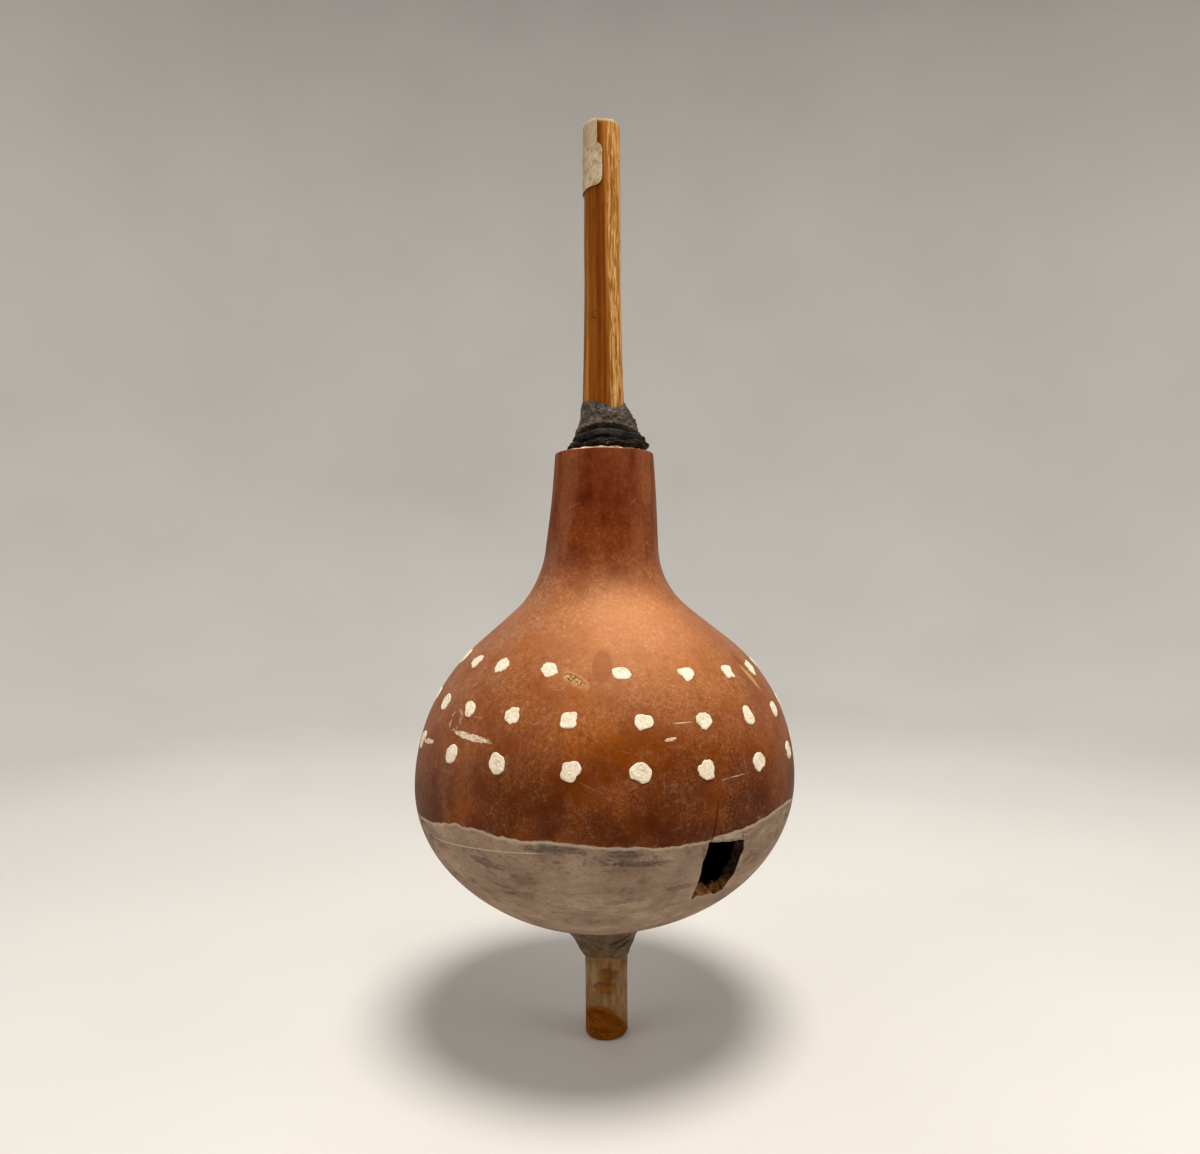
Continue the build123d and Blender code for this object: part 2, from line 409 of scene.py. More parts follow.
skin, at = new_finish("gourd_skin")
_, height_s, azimuth_s = places_on(at)
on_skin = (azimuth_s, height_s)
broad = at.noise(38, 3, 0.5)
cloud = at.noise(13, 5, 0.6)
fleck = at.noise(1.5, 3, 0.65)
grit = at.noise(0.42, 3, 0.7)
streak = at.noise(9, 4, 0.6, (1, 1, 0.22))
tone = broad * 0.5 + cloud * 0.3 + streak * 0.2
oiled = tone.ramp((0.34, 94, 42, 4), (0.46, 114, 56, 10), (0.55, 121, 62, 16), (0.68, 138, 78, 32))
dull = at.noise(24, 4, 0.6, (1, 1, 1.4))
oiled = oiled.tint(dull.step(0.46, 0.64) * 0.5, 116, 64, 42)
amber = at.noise(20, 3, 0.5, (1, 1, 0.6)).step(0.56, 0.68) * height_s.step(190, 150)
oiled = oiled.tint(amber * 0.4, 146, 76, 4)
# Painted shade: the oiled skin is darkened in patches towards the bottom of the belly, below about 132
# mm.
lower_belly_painted_shade = height_s.step(132, 104) * at.noise(22, 3).step(0.3, 0.6)
oiled = oiled.tint(lower_belly_painted_shade * 0.8, 66, 28, 6)
# Painted highlight: a broad pale orange patch high on the shoulder, strongest a little right of the
# front, where the top light glows. Freckles thicken on it, and dark flecks and mottle thin out.
shoulder_painted_highlight = height_s.step(122, 174) * height_s.step(200, 168) * (azimuth_s.near(14, 38) * 0.7 + 0.3)
oiled = oiled.tint(shoulder_painted_highlight * 0.64, 214, 146, 98)
neck_tone = cloud.ramp((0.35, 82, 31, 0), (0.65, 114, 49, 0))
# Pinkish streaks towards the neck's sides, away from the front: a dusty film and painted sheen.
neck_side_dust_and_sheen = azimuth_s.near(0, 44) * -0.8 + 1
neck_tone = neck_tone.tint(neck_side_dust_and_sheen * streak.step(0.36, 0.6) * 0.6, 148, 92, 62)
oiled = at.mix(height_s.step(166, 196) * 0.9, oiled, neck_tone)
# Grey-pink tint towards the belly's and shoulder's sides, away from the front: a dusty film and painted
# sheen.
belly_side_dust_and_sheen = (azimuth_s - 8).math("ABSOLUTE").step(34, 74) * height_s.step(86, 132) * height_s.step(205, 186)
oiled = oiled.tint(belly_side_dust_and_sheen * (cloud.step(0.3, 0.6) * 0.3 + 0.3), 138, 97, 77)
freckle = (fleck.step(0.5, 0.72) * 0.36 + grit.step(0.46, 0.72) * 0.6).math("MINIMUM", 1)
speckled = cloud.step(0.3, 0.6) * height_s.step(200, 178).most(0.45)
speckled = speckled * (0.24 + shoulder_painted_highlight * 0.34 + height_s.step(112, 150) * 0.12)
oiled = oiled.tint(freckle * speckled, 226, 180, 142)
oiled = oiled.tint(fleck.step(0.47, 0.32) * (0.38 - shoulder_painted_highlight * 0.3), 86, 36, 14)
mottle = at.noise(4.2, 5, 0.7, (1, 1, 0.8))
calm = height_s.step(192, 172) * 0.55 + 0.15
oiled = oiled.tint(mottle.step(0.54, 0.7) * calm * 0.26, 158, 104, 74)
oiled = oiled.tint(mottle.step(0.46, 0.34) * calm * (0.26 - shoulder_painted_highlight * 0.2), 78, 34, 12)
# Wear and stains on the oiled skin.
edge_noise = (at.noise(2.2, 4, 0.65) - 0.5) * 1.6
scratch_noise = at.noise(0.9, 4, 0.7, (0.45, 0.45, 2.2))
chip = spot_mask(on_skin, (-10.2, 147.2), (4.2, 1.05), -22, edge_noise)
chip_ring = spot_mask(on_skin, (-10.0, 147.2), (5.2, 2.0), -24, edge_noise)
scar = spot_mask(on_skin, (61, 144.5), (1.6, 5.0), 24, edge_noise)
smear = (
    spot_mask(on_skin, (-41.5, 127.2), (8.0, 1.1), -5, edge_noise * 1.5)
    .most(spot_mask(on_skin, (-65, 121.8), (5, 0.9), 8, edge_noise))
    .most(spot_mask(on_skin, (17.5, 128.6), (1.8, 0.55), 10, edge_noise))
)
ring_reach = ((azimuth_s + 50.9) / 3.0) ** 2 + ((height_s - 131.4) / 3.4) ** 2
ring = (ring_reach + edge_noise * 0.4).near(0.9, 0.3) * at.noise(1.6, 3, 0.7).step(0.45, 0.6) * 0.5
stain = spot_mask(on_skin, (-1.2, 151.5), (3.6, 5.0), 0, edge_noise * 0.3)
nicks = spot_mask(on_skin, (22, 133.4), (3.4, 0.22), 0, edge_noise)
nicks = nicks.most(spot_mask(on_skin, (36, 114.8), (4.6, 0.2), 5, edge_noise))
scrape = at.seams(16, (1, 1, 1.5)).step(0.012, 0.003) * at.noise(12, 2).step(0.57, 0.66)
smear = smear * scratch_noise.step(0.36, 0.52)
oiled = oiled.tint(stain * 0.4, 126, 66, 34)
oiled = oiled.tint(chip_ring * 0.25, 200, 156, 124)
torn_fibre = at.noise(1.3, 3, 0.6, (2, 2, 0.6)).ramp((0.36, 80, 52, 20), (0.62, 206, 164, 98))
oiled = at.mix(chip, oiled, torn_fibre)
oiled = oiled.tint(scar * 0.55, 196, 152, 92)
nicked = nicks * scratch_noise.step(0.42, 0.56) * 0.6
pale = (smear * 0.85).most(ring).most(nicked).most(scrape * 0.12)
oiled = oiled.tint(pale, 226, 206, 184)
# The white wash: its upper edge against azimuth, as a share of its span from 92 to 102 mm.
wash_edge = (
    (-180, 97), (-160, 98.4), (-140, 96.2), (-118, 97.6), (-98, 95.2), (-82, 94.2), (-70, 93.8),
    (-58, 95.0), (-51, 96.4), (-44, 98.0), (-36, 98.2), (-30, 97.0), (-21, 96.9), (-13, 97.4),
    (-1, 96.1), (9, 95.8), (18, 94.8), (23, 95.6), (27, 95.6), (37, 96.7), (43, 97.5), (50, 98.8),
    (58, 100.2), (68, 99.2), (84, 97.4), (104, 98.8), (126, 96.6), (148, 97.8), (166, 96.2), (180, 97),
)
edge_stops = [(a / 360 + 0.5, ((h - 92) / 10,) * 3 + (1.0,)) for a, h in wash_edge]
edge_share = at.node("ValToRGB", {"stops": edge_stops}, {0: azimuth_s / 360 + 0.5})
wavy = (at.noise(5.5, 4, 0.6) - 0.5) * 2.6 + (at.noise(1.2, 3, 0.6) - 0.5) * 0.8
above_edge = height_s - (edge_share * 10 + 92 + wavy)
washed = above_edge.step(0.16, -0.16)
# The raised lip just under the wash's edge. It is a low ridge in the bump, and a pale line of painted
# highlight in the colour.
lip = above_edge.near(-0.55, 0.5)
thin = at.noise(17, 5, 0.65, (1, 1, 1.5))
brushed = at.noise(8, 5, 0.62, (0.8, 0.8, 1.9), 1.0)
wash = (thin * 0.55 + brushed * 0.45).ramp(
    (0.34, 104, 84, 70), (0.44, 132, 110, 92), (0.53, 148, 125, 106), (0.64, 166, 145, 124)
)
violet = brushed.step(0.5, 0.6) * above_edge.step(-14, -4) * at.noise(13, 3, 0.5).step(0.42, 0.56)
wash = wash.tint(violet * 0.8, 66, 54, 62)
smudged = at.noise(2.2, 6, 0.75, (0.4, 0.4, 1.5), 1.4).step(0.38, 0.55) * above_edge.step(-40, -4)
smudge = 0
for turn, rise, wide, high, tilt in (
    (-14, 94.4, 9, 1.5, 0), (4, 93.4, 5, 1.3, 0), (9, 89.8, 8, 1.0, -3), (-34, 86.4, 6, 1.6, -8),
    (-29, 77, 5, 1.9, -14), (5, 75.8, 6, 1.6, 8), (21, 79, 4, 1.2, 4), (-6, 70, 7, 1.2, 3),
    (96, 92.5, 9, 1.4, -4), (122, 80, 7, 1.6, 8), (165, 91.5, 10, 1.3, 3), (-150, 84, 7, 1.7, -6),
    (-104, 90, 8, 1.3, 5), (-172, 73, 6, 1.5, 0),
):
    smudge = spot_mask(on_skin, (turn, rise), (wide, high), tilt, edge_noise * 1.6) + smudge
wash = wash.tint((smudge * smudged).math("MINIMUM", 1) * 0.66, 66, 56, 58)
soot = at.noise(3.6, 5, 0.72, (0.7, 0.7, 1.9), 1.2).step(0.6, 0.7) * at.noise(17, 3).step(0.46, 0.6)
wash = wash.tint(soot * 0.7, 56, 46, 44)
# Painted highlight: a pale line along the wash's lip.
wash = wash.tint(lip * 0.6, 196, 174, 150)
wash = wash.tint(grit.step(0.54, 0.7) * 0.25, 196, 180, 158)
wash = wash.tint(fleck.step(0.45, 0.32) * 0.3, 92, 76, 66)
pale_line = (height_s - (94.3 + azimuth_s * 0.09)).near(0, 0.22)
pale_line = pale_line * azimuth_s.step(-60, -54) * azimuth_s.step(-14, -20)
wash = wash.tint(pale_line * 0.5, 214, 200, 178)
foot_smudge = spot_mask(on_skin, (-17, 52.5), (13, 2.6), 0, edge_noise)
wash = wash.tint(foot_smudge * 0.6, 104, 74, 48)
surface = at.mix(washed, oiled, wash)
# The crack above the window, drawn as a dark line of painted shade with a brown band of painted shade
# along its left side, and bruised rims where the wall broke.
crack_turn = 28.4 + (height_s - 95.7) * 0.11 + (at.noise(2.4, 3, 0.6) - 0.5) * 1.3
crack = (azimuth_s - crack_turn).near(0, 0.2) * height_s.step(93, 95) * height_s.step(109, 104)
crack_side_shade = (azimuth_s - crack_turn + 0.8).near(0, 0.6)
crack_side_shade = crack_side_shade * height_s.step(93, 95) * height_s.step(104, 99)
surface = surface.tint(crack_side_shade * 0.3, 96, 44, 22)
surface = surface.tint(crack * 0.9, 38, 20, 12)
beside_window = (azimuth_s - 34.2).math("ABSOLUTE").step(9.0, 6.6)
beside_window = beside_window * (height_s - 83.6).math("ABSOLUTE").step(13.5, 10.6)
bruise = beside_window * at.noise(2.6, 4, 0.7).step(0.46, 0.6)
surface = surface.tint(bruise * 0.35, 196, 176, 158)
flake = spot_mask(on_skin, (34.3, 95.2), (6.0, 0.9), -6, edge_noise * 0.6)
surface = surface.tint(flake * 0.6, 186, 166, 148)
stroke = at.noise(0.8, 3, 0.6, (0.25, 0.25, 1.5)).step(0.55, 0.62)
surface = surface.tint(flake * stroke * 0.7, 72, 60, 58)
skin_bump = (
    washed * 0.1 + lip * 0.05 + fleck * 0.045 + cloud * 0.12 + washed * brushed * 0.12
    - crack * 0.3 - chip * 0.45 - scar * 0.25 - nicks * 0.1 - scrape * 0.05 + smear * 0.05
)
gloss = 0.46 + cloud * 0.12 + freckle * 0.12 - amber * 0.04
gloss = gloss + washed * (0.82 - gloss) + chip * 0.2
finish_with(at, surface, gloss, skin_bump, Specular_IOR_Level=0.05)

flesh, at = new_finish("gourd_broken_wall")
fibre = at.noise(1.4, 5, 0.7, (1, 1, 1))
layer = at.noise(4.5, 4, 0.6, (1, 1, 1.6))
broken = (fibre * 0.6 + layer * 0.4).ramp(
    (0.34, 44, 26, 14), (0.46, 104, 68, 34), (0.55, 158, 112, 60), (0.68, 214, 176, 120)
)
upward = at.node("SeparateXYZ", {}, {0: at.node("NewGeometry", {}, {}, "Normal")}, 2)
# Painted shade: broken faces that face sideways or down are darkened, and those facing up stay lighter.
broken = broken.tint(upward.step(0.5, -0.2) * 0.55, 66, 38, 22)
height_b = places_on(at)[1]
# Broken faces above the window's sill, up to about 120 mm, are made nearly black-brown.
darker_above_sill = height_b.step(74.8, 79.5) * height_b.step(130, 110)
broken = at.mix(darker_above_sill * 0.94, broken, fibre.ramp((0.5, 20, 10, 4), (0.7, 84, 48, 20)))
broken = broken.tint(height_b.step(190, 215) * 0.75, 206, 172, 132)
finish_with(at, broken, 0.86, fibre * 0.5 + layer * 0.3, Specular_IOR_Level=0.2)

inner, at = new_finish("gourd_inside")
pith = at.noise(6, 6, 0.7)
inside = pith.ramp((0.35, 12, 7, 4), (0.52, 28, 18, 10), (0.7, 50, 34, 20))
finish_with(at, inside, 0.95, pith * 0.6, Specular_IOR_Level=0.1)

rind = make_piece(
    "rind", rind_points, rind_faces, [skin, flesh, inner], np.array([0, 2, 1, 1, 1, 1])[rind_sides]
)
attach(rind, "rattle")
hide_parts("gourd_shell")

# ---------------------------------------------------------------- pebbles
# Small worn stones from a stream bed, dropped in before the neck was plugged. They lie in two rings
# in the bowl round the rod and make the rattle's sound as the gourd is swirled.
core_radius = 8.8
pebble_radius = 2.9
pebble_spread = 0.14
pebble_clearance = 0.35
wall = rind_depths[-1]


def pebble_places():
    """Centre and radius of each pebble: rings whose stones just clear the rod, the bowl and each
    other, at even azimuths with a small sway, as they lie when the gourd stands upright."""
    across, down = belly_radius - wall, belly_depth - wall
    largest = pebble_radius * (1 + pebble_spread)
    distance = core_radius + largest + pebble_clearance
    found = []
    for count in (9, 14):
        steep = math.sqrt(1 - (distance / across) ** 2)
        tilt = down * distance / (across**2 * steep)
        slack = 2 * math.pi * distance / count - 2 * largest
        for turn in range(count):
            radius = pebble_radius * (1 + pebble_spread * math.sin(2.4 * len(found)))
            lift = (radius + pebble_clearance) * math.hypot(1, tilt)
            sway = math.degrees(slack / 4 / distance) * math.sin(1.7 * len(found))
            angle = math.radians(360 * turn / count + sway)
            up = belly_height - down * steep + lift
            found.append((distance * math.sin(angle), -distance * math.cos(angle), up, radius))
        distance += 2 * largest + pebble_clearance
    return np.array(found)


def band_faces(number):
    """Quads between each ring of corner numbers and the next, closed on themselves all round."""
    onward = np.roll(number, -1, axis=1)
    return np.stack([number[:-1], onward[:-1], onward[1:], number[1:]], axis=-1).reshape(-1, 4)


def ball_faces(rings, around):
    """Faces of a form of stacked rings between two poles, which are its first and last points."""
    number = 1 + np.arange(rings * around).reshape(rings, around)
    onward = np.roll(number, -1, axis=1)
    last = 1 + rings * around
    south = np.stack([np.zeros_like(number[0]), onward[0], number[0]], axis=-1)
    north = np.stack([np.full_like(number[0], last), number[-1], onward[-1]], axis=-1)
    return band_faces(number), np.concatenate([south, north])


def faces_of_all(forms, rings, around):
    """The faces of many alike balls, whose points are numbered on from ball to ball."""
    start = (np.arange(len(forms)) * forms.shape[1])[:, None, None]
    return [(kind + start).reshape(-1, kind.shape[1]) for kind in ball_faces(rings, around)]


def pebble_points(rings, around):
    """Every pebble as a ball pushed in and out by ripples of its own, kept within its radius."""
    up = np.linspace(-np.pi / 2, np.pi / 2, rings + 2)[1:-1, None] + np.zeros(around)
    turn = np.linspace(0, 2 * np.pi, around, endpoint=False) + 0 * up
    ball = np.stack([np.cos(up) * np.cos(turn), np.cos(up) * np.sin(turn), np.sin(up)], -1)
    ball = np.concatenate([[[0, 0, -1]], ball.reshape(-1, 3), [[0, 0, 1]]])
    every = []
    for number, (x, y, z, radius) in enumerate(pebble_places()):
        dent = 0.90 + 0.09 * ripple(100 + number, 2.2, *ball.T).clip(-1.6, 1)
        stone = ball * dent[:, None] * radius * np.array([1, 0.97, 0.92])
        every.append(stone + (x, y, z))
    return np.stack(every)


pebble_grid = (13, 24)
stones = pebble_points(*pebble_grid)
pebble_stone, at = new_finish("pebble_stone")
vein = at.noise(4, 5, 0.65)
stone_colour = vein.ramp((0.35, 72, 58, 46), (0.5, 116, 100, 84), (0.66, 150, 134, 112))
stone_colour = stone_colour.tint(at.noise(0.7, 3).step(0.6, 0.7) * 0.5, 54, 44, 38)
finish_with(at, stone_colour, 0.55 + vein * 0.3, vein * 0.2)
pebbles = make_piece("pebbles", stones, faces_of_all(stones, *pebble_grid), [pebble_stone])
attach(pebbles, "pellet_charge")
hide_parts("pellets")

# ---------------------------------------------------------------- rod
# One whittled stick of honey-coloured wood through the whole gourd: a stub below that took the same
# white wash, and a thinner handle above, its knife flats worn smooth and its end rounded by hands.
stick_top = 362.0
stub_radius = 8.5
handle_radius = 7.5
taper_length = 68.0
top_rounding = 1.8
foot_rounding = 0.9
shoulder_height = 33.2


def rod_radius(height):
    """Even stub, even core, then a taper above the gourd's rim to the even handle."""
    share = np.clip((height - rim_height) / taper_length, 0, 1)
    core = core_radius + (handle_radius - core_radius) * share
    return np.where(height < shoulder_height, stub_radius, core)


def all_round(around):
    """Even azimuths in radians, once round, as a row."""
    return np.linspace(-np.pi, np.pi, around, endpoint=False)[None, :]


def rod_points(around):
    """Rings up the rod: its radius, flattened by knife flats that wander as they climb, with one
    knot's swelling, rounded in at the top and eased at the foot."""
    height = np.concatenate(
        (
            foot_rounding * (1 - np.cos(np.linspace(0.25, 1, 5) * np.pi / 2)),
            np.linspace(foot_rounding, stick_top - top_rounding, 260)[1:],
            stick_top - top_rounding * (1 - np.sin(np.linspace(0, 1, 8)[1:] * np.pi / 2 * 0.97)),
        )
    )[:, None]
    turn = all_round(around)
    radius = rod_radius(height)
    wander = 0.12 * ripple(21, 160, height)
    flats = 0
    for count, depth, lag in ((7, 0.20, 0.4), (11, 0.10, 1.9), (3, 0.16, 2.4)):
        flats = flats - depth * np.abs(np.sin((turn + wander) * count / 2 + lag))
    above = smooth_step(height, rim_height + 6, rim_height + 30)
    below = 1 - smooth_step(height, 24, 30)
    x, y = np.sin(turn) * 8, np.cos(turn) * 8
    radius = radius + flats * (above + 0.45 * below)
    radius = radius + 0.07 * ripple(22, 14, x, y, height * 0.3) * (above + below)
    radius = radius + 0.12 * ripple(23, 60, x * 0.6, y * 0.6, height) * above
    radius = radius + 0.35 * bump_at(height, 284.3, 2.2) * bump_at(turn, -0.44, 0.28)
    top = np.clip((height - (stick_top - top_rounding)) / top_rounding, 0, 1)
    radius = radius - top_rounding * (1 - np.sqrt(1 - top**2))
    toe = np.clip(1 - height / foot_rounding, 0, 1)
    radius = radius - foot_rounding * (1 - np.sqrt(1 - toe**2))
    foot_tilt = (0.5 * np.sin(turn + 0.5) + 0.35 * ripple(24, 7, x, y)) * (1 - smooth_step(height, 0, 9))
    rise = height + foot_tilt.clip(0, 2) + 0.25 * ripple(25, 5, x, y) * top
    return turned(radius, turn, rise)


def stacked(rings):
    """Points and faces of a form of stacked rings, closed to a pole in the middle of each end."""
    ends = rings[0].mean(0)[None], rings[-1].mean(0)[None]
    points = np.concatenate([ends[0], rings.reshape(-1, 3), ends[1]])
    return points, list(ball_faces(*rings.shape[:2]))


rod_wood, at = new_finish("whittled_wood")
across_s, height_s, azimuth_s = places_on(at)
grain = at.noise(1.5, 5, 0.6, (1, 1, 0.035), 0.3)
band = at.noise(5.5, 4, 0.55, (1, 1, 0.03), 0.2)
pore = at.noise(0.55, 3, 0.6, (1, 1, 0.05))
fibre = (band * 0.5 + grain * 0.5).step(0.38, 0.64)
wood = at.mix(fibre, shade(118, 68, 10), shade(176, 118, 54))
# Painted shade: darker honey-coloured bands of the same wood by azimuth, one across the front, where the
# handle's middle falls into shade.
wander = azimuth_s + (band - 0.5) * 36
honey_shade_bands = wander.step(-50, -44) * wander.step(12, 4)
honey_shade_bands = honey_shade_bands.most(wander.step(96, 100) * wander.step(150, 140))
honey_shade_bands = honey_shade_bands.most(wander.step(-160, -152) * wander.step(-118, -126))
wood = at.mix(honey_shade_bands * 0.93, wood, at.mix(fibre, shade(100, 48, 0), shade(136, 76, 2)))
streaky = at.noise(0.9, 4, 0.65, (1, 1, 0.09), 0.8)
# Painted light: pale streaks on the handle's right-hand side, where the light falls.
painted_light_side = wander.step(14, 24) * wander.step(96, 88)
wood = wood.tint(painted_light_side * streaky.step(0.42, 0.6) * 0.75, 222, 172, 106)
wood = wood.tint(streaky.step(0.6, 0.72) * (1 - honey_shade_bands * 0.75) * 0.3, 214, 164, 100)
wood = wood.tint(pore.step(0.56, 0.66) * 0.5, 96, 48, 8)
line_dark = at.noise(1.0, 4, 0.6, (1, 1, 0.012)).step(0.60, 0.68)
wood = wood.tint(line_dark * 0.6, 92, 46, 12)
knot_reach = ((azimuth_s + 25) / 10) ** 2 + ((height_s - 284.3) / 1.7) ** 2
knot_reach = knot_reach + (at.noise(1.4, 3) - 0.5) * 0.8
wood = wood.tint(knot_reach.step(2.2, 0.6) * 0.4, 150, 92, 30)
wood = wood.tint(knot_reach.near(0.8, 0.4) * 0.8, 88, 46, 10)
wood = wood.tint(knot_reach.near(0, 0.12) * 0.7, 74, 40, 12)
grime = height_s.step(259, 251) * at.noise(2.2, 3).step(0.42, 0.6)
wood = wood.tint(grime * 0.25, 74, 42, 18)
top_cut = height_s.step(359.6, 361)
cut_wood = at.mix(at.noise(0.9, 3), shade(196, 178, 150), shade(150, 118, 78))
wood = at.mix(top_cut * 0.7, wood, cut_wood)
bare = at.noise(3.4, 5, 0.7, (0.6, 0.6, 1.6), 0.4)
rough_edge = (bare - 0.5) * 1.7 + (streaky - 0.5) * 1.2
aside = across_s / stub_radius
dip_line = 12.6 - aside * 3.6 - aside * aside * 6.0 + (bare - 0.5) * 7
cream = (height_s - dip_line).step(-0.5, 0.9) * height_s.step(46, 40)
for patch in ((3, 26.2, 31, 2.3), (-6, 20.8, 33, 2.6), (150, 23.0, 40, 3.0), (-120, 17.0, 30, 2.4)):
    cream = cream * (1 - spot_mask((azimuth_s, height_s), patch[:2], patch[2:], 0, rough_edge) * 0.62)
cream = cream * (0.62 + at.noise(6, 3, 0.5, (1, 1, 0.4)).step(0.4, 0.6) * 0.38)
cream = cream.most(at.noise(1.6, 4, 0.7).step(0.66, 0.71) * height_s.step(46, 40) * 0.8)
cream_tone = at.noise(3, 5, 0.65, (1, 1, 0.3)).ramp((0.36, 112, 88, 58), (0.6, 158, 134, 102))
stub_wood = at.mix(bare.step(0.36, 0.62), shade(96, 50, 4), shade(134, 78, 12))
wood = at.mix(height_s.step(40, 34), wood, stub_wood)
wood = at.mix(cream * 0.86, wood, cream_tone)
end_grain = height_s.step(0.9, 0.1)
wood = wood.tint(end_grain * 0.6, 92, 58, 28)
rod_bump = grain * 0.10 - pore.step(0.58, 0.72) * 0.08 - line_dark * 0.06 + cream * 0.08
finish_with(
    at, wood, (0.46 + grain * 0.18) + cream * 0.3, rod_bump - knot_reach.near(0.8, 0.3) * 0.2,
    Specular_IOR_Level=0.06,
)
rod = make_piece("rod", *stacked(rod_points(96)), [rod_wood], sharp=60)
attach(rod, "rattle")
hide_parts("handle_stick")

# ---------------------------------------------------------------- neck plug
# A collar of pale pith-like wood wedged in the gourd's mouth round the rod, standing a little proud
# of the sawn rim. Only a sliver of it shows under the pitch.
plug_height = 231.7
plug_depth = 16.0
mouth_radius = 15.5


def tube_faces(rings, around):
    """Faces of rings that follow one another round a closed section, the last meeting the first."""
    number = np.arange(rings * around).reshape(rings, around)
    return band_faces(np.concatenate([number, number[:1]]))


def plug_points(around):
    """A section from the bore's foot out, up the wedge side, over a worn top and down the bore."""
    turn = all_round(around)
    low = rim_height - plug_depth
    side = [(core_radius, low), (mouth_radius - 0.8, low), (mouth_radius - 0.4, rim_height - 8)]
    side += [(mouth_radius, rim_height), (mouth_radius - 0.02, plug_height - 0.45)]
    side += [(mouth_radius - 0.35, plug_height - 0.1), (mouth_radius - 1.2, plug_height)]
    side += [(12.0, plug_height - 0.1), (core_radius, plug_height - 0.1)]
    radius, height = (np.array(c)[:, None] + 0 * turn for c in zip(*side))
    chips = ripple(31, 5, 15 * np.sin(turn), 15 * np.cos(turn)) * smooth_step(height, 231, 231.5)
    worn = smooth_step(radius, 12.5, 15)
    height = height + 0.35 * chips * worn
    radius = radius + 0.12 * chips
    lean = rind_lean(height) * smooth_step(radius, core_radius, mouth_radius)
    return turned(radius, turn, height, lean * 0.5)


plug_pith, at = new_finish("plug_pith")
speck = at.noise(1.6, 5, 0.65)
plug_colour = speck.ramp((0.35, 150, 112, 82), (0.5, 206, 172, 142), (0.66, 232, 206, 180))
plug_colour = plug_colour.tint(at.noise(5, 3).step(0.5, 0.64) * 0.5, 120, 82, 56)
finish_with(at, plug_colour, 0.8, speck * 0.35)
plug_rings = plug_points(120)
plug = make_piece("plug", plug_rings, tube_faces(*plug_rings.shape[:2]), [plug_pith], sharp=55)
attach(plug, "rattle")
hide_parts("neck_plug")

# ---------------------------------------------------------------- pitch collar
# Black pitch warmed and pressed round the rod on top of the plug with wet fingers: a rugged rolled
# lip, a deep fold above it, and a skin that thins out up the rod to a torn edge.
pitch_left = (
    (231.9, 14.6), (233.5, 13.7), (236.5, 11.9), (239, 10.9), (242, 9.8), (245, 9.2), (251, 8.3),
)
pitch_right = (
    (231.9, 16.5), (233.2, 17.3), (235.5, 16.9), (237.5, 15.1), (240, 14.0), (243.5, 12.6),
    (246.5, 10.9), (250, 8.9),
)
pitch_top = (
    (-180, 250.2), (-140, 249.4), (-100, 250.6), (-60, 250.7), (-22, 250.3), (-8, 249.4), (6, 248.5),
    (22, 247.3), (38, 247.4), (52, 249.2), (80, 250.1), (120, 249.0), (150, 250.4), (180, 250.2),
)


def pitch_points(levels, around):
    """Outer skin from the lip up to the torn edge, its radius between the left and right side
    lines by azimuth, kneaded by ripples and cut by the fold; then the bore back down."""
    turn = all_round(around)
    degrees = np.degrees(turn)
    share = np.linspace(0, 1, levels)[:, None] ** 0.9
    base = 231.62 + 0 * turn
    top = np.interp(degrees, *zip(*pitch_top))
    top = top + 0.5 * ripple(41, 2.2, 9 * np.sin(turn), 9 * np.cos(turn))
    height = base + (top - base) * share
    rightward = (1 + np.sin(turn)) / 2
    radius = np.interp(height, *zip(*pitch_left)) * (1 - rightward)
    radius = radius + np.interp(height, *zip(*pitch_right)) * rightward
    x, y = radius * np.sin(turn), radius * np.cos(turn)
    thick = np.clip((radius - rod_radius(height)) / 2.5, 0.12, 1)
    knead = 0.55 * ripple(42, 7, x, y, height * 1.5) + 0.28 * ripple(43, 3, x, y, height * 2.2)
    knead = knead + 0.13 * ripple(44, 1.3, x, y, height * 2)
    wrinkle = 0.22 * np.abs(ripple(45, 2.2, x * 0.25, y * 0.25, height * 2.2))
    wrinkle = wrinkle * smooth_step(degrees, 10, 40)
    fold_height = 238.6 + 1.1 * np.cos(np.radians(degrees - 2) * 2.0) + 0.3 * ripple(46, 6, x, y)
    fold_reach = smooth_step(degrees, -62, -46) * (1 - smooth_step(degrees, 46, 60))
    fold_reach = np.maximum(fold_reach, 0.5 * smooth_step(np.cos(turn + 2.6), 0.75, 0.95))
    fold = bump_at(height, fold_height, 0.85) * fold_reach
    overhang = bump_at(height, fold_height + 1.35, 0.9) * fold_reach
    lower_reach = (0.6 + 0.4 * ripple(47, 9, x, y)) * (1 - 0.65 * bump_at(degrees, 42, 30))
    under = bump_at(height, 234.9 + 0.8 * ripple(48, 12, x, y), 0.62) * lower_reach
    roll = bump_at(height, 236.6, 1.0) * 0.45
    knob = bump_at(degrees, 84, 16) * bump_at(height, 233.6, 1.6) * 0.9
    radius = radius + (knead - wrinkle) * thick + 0.5 * overhang + roll * thick + knob
    radius = radius - 3.0 * fold - 1.9 * under
    lip = 0.5 * ripple(49, 3.5, x, y) * bump_at(height, 232, 1.2)
    edge_thin = 0.18 + 0.5 * smooth_step(top - height, 0, 2.5)
    radius = np.maximum(radius + lip, rod_radius(height) + edge_thin)
    foot_tuck = 0.9 * smooth_step(233.0 - height, 0, 1.4)
    radius = radius - foot_tuck
    bore = rod_radius(height[::-1]) - 0.5
    radius = np.concatenate([radius, bore])
    return turned(radius, turn, np.concatenate([height, height[::-1]]))


